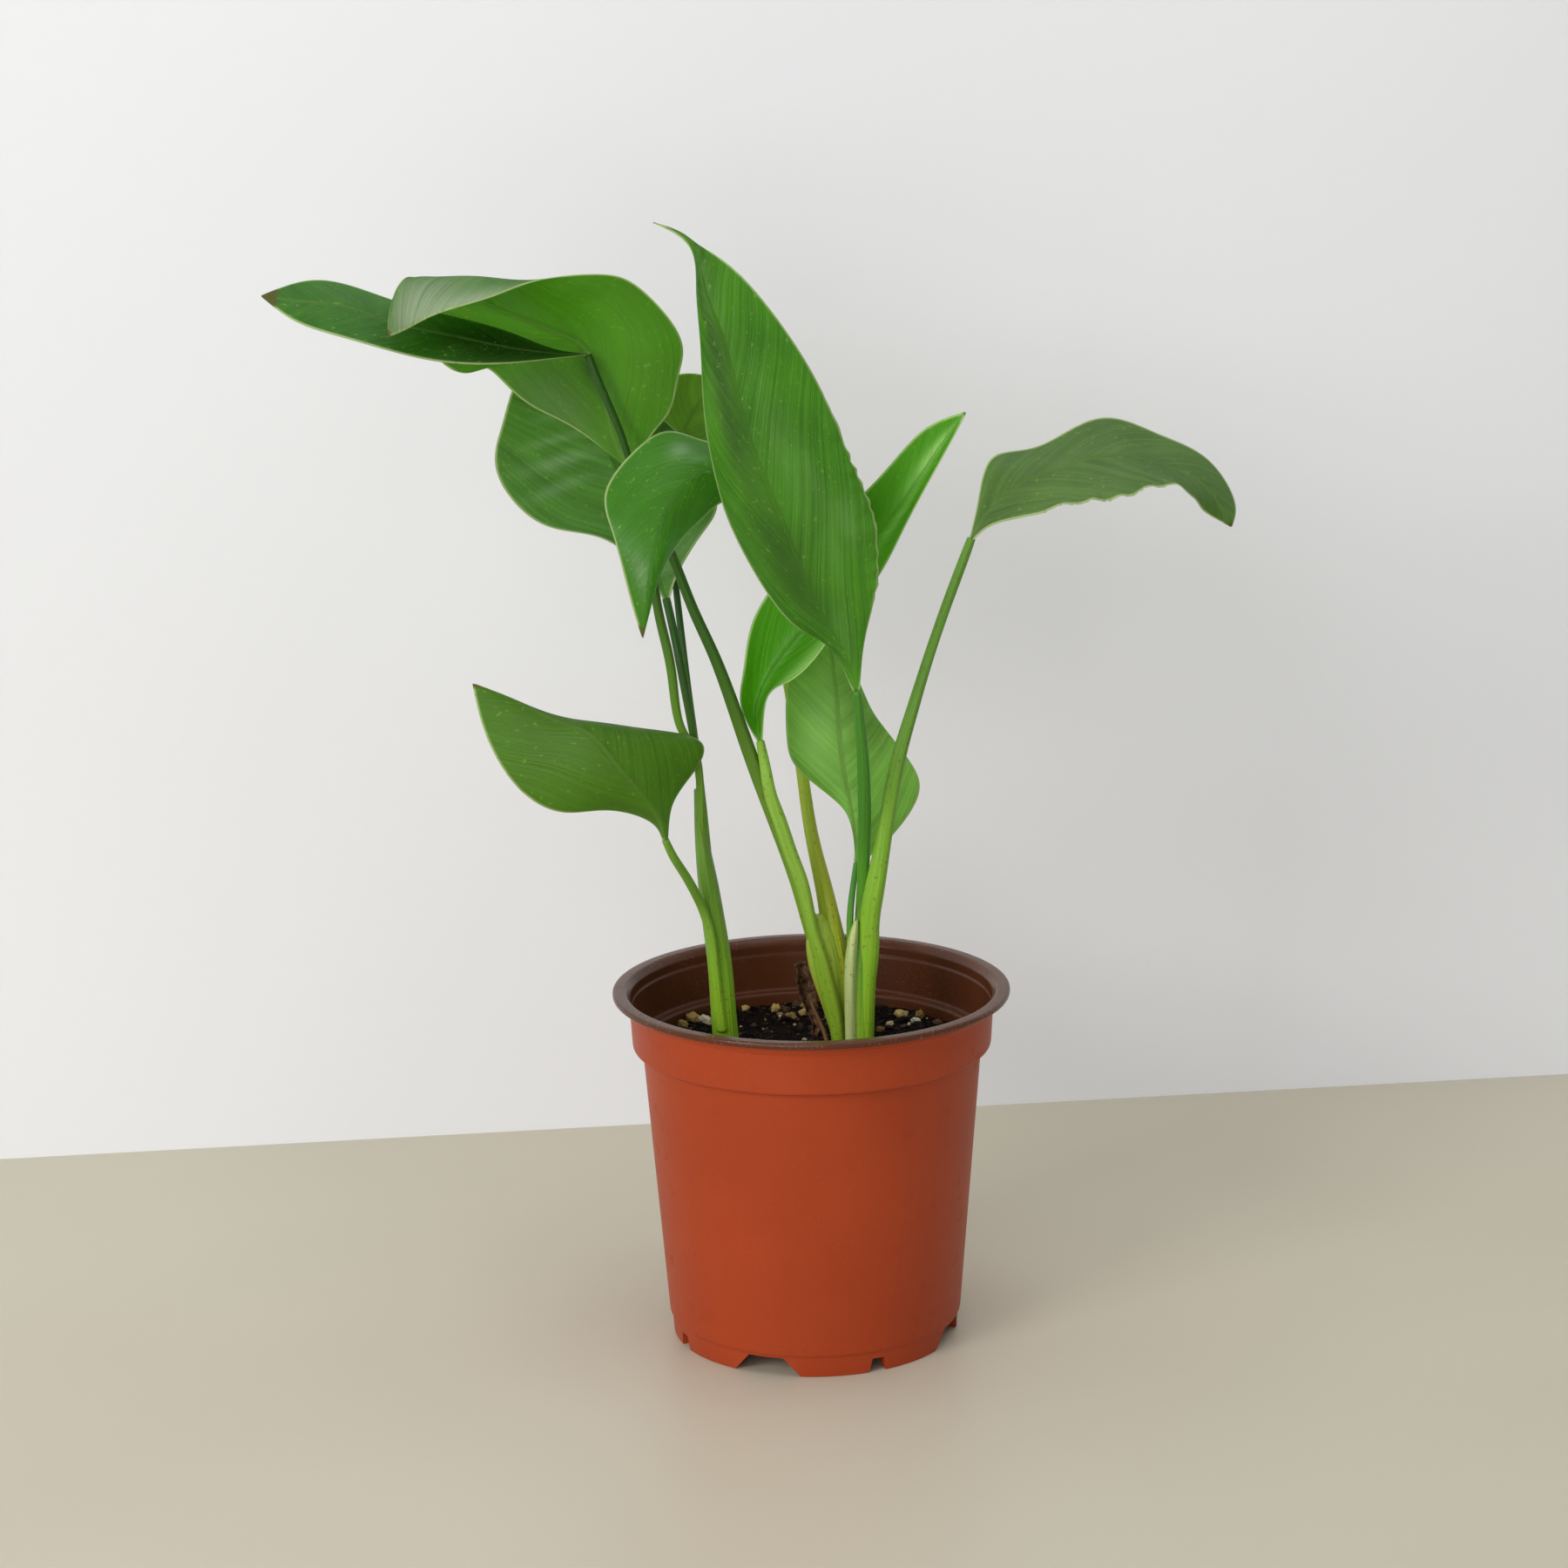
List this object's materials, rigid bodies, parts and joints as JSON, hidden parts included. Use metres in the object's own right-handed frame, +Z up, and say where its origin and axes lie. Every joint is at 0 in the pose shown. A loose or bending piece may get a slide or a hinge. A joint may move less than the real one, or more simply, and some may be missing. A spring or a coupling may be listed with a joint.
{
  "type": "potted bird of paradise plant",
  "caption": "Young bird of paradise with paddle-shaped leaves on long petioles, growing in a tapered terracotta-coloured nursery pot filled with soil",
  "frame": {"origin": "centre of the whole object's bounding box footprint, on the surface that the pot's feet stand on", "axes": "+Z up, from the feet to the tallest leaf; +X to the right as seen from the front, along the spread of the leaves; +Y to the back. The pot's axis is parallel to Z, 16.4 mm to the +X side of the origin"},
  "size_m": [0.3556, 0.1524, 0.4314],
  "materials": {
    "pot_plastic": "thin thermoformed plastic, satin terracotta colour",
    "potting_mix": "matte, crumbly peat and bark",
    "petiole_green": "smooth living stem, satin",
    "blade_green": "living leaf, waxy satin",
    "pumice": "rough, porous",
    "dry_brown": "dry, matte"
  },
  "bodies": {
    "root": {"pot": "pot_plastic", "soil": "potting_mix", "shoot_left": "petiole_green", "shoot_middle": "petiole_green", "shoot_right": "petiole_green", "stem_tall": "petiole_green", "stem_hood": "petiole_green", "stem_long": "petiole_green", "stem_broad": "petiole_green", "stem_back": "petiole_green", "stem_pointed": "petiole_green", "stem_young": "petiole_green", "stem_arching": "petiole_green", "stem_small": "petiole_green", "stem_low": "petiole_green", "leaf_tall": "blade_green", "leaf_hood": "blade_green", "leaf_long": "blade_green", "leaf_broad": "blade_green", "leaf_back": "blade_green", "leaf_pointed": "blade_green", "leaf_young": "blade_green", "leaf_arching": "blade_green", "leaf_small": "blade_green", "leaf_low": "blade_green", "grain_1": "pumice", "grain_2": "pumice", "grain_3": "pumice", "grain_4": "pumice", "grain_5": "pumice", "grain_6": "pumice", "grain_7": "pumice", "grain_8": "pumice", "grain_9": "pumice", "grain_10": "pumice", "grain_11": "pumice", "grain_12": "pumice", "grain_13": "pumice", "grain_14": "pumice", "grain_15": "pumice", "grain_16": "pumice", "dry_leaf": "dry_brown"}
  },
  "joints": []
}
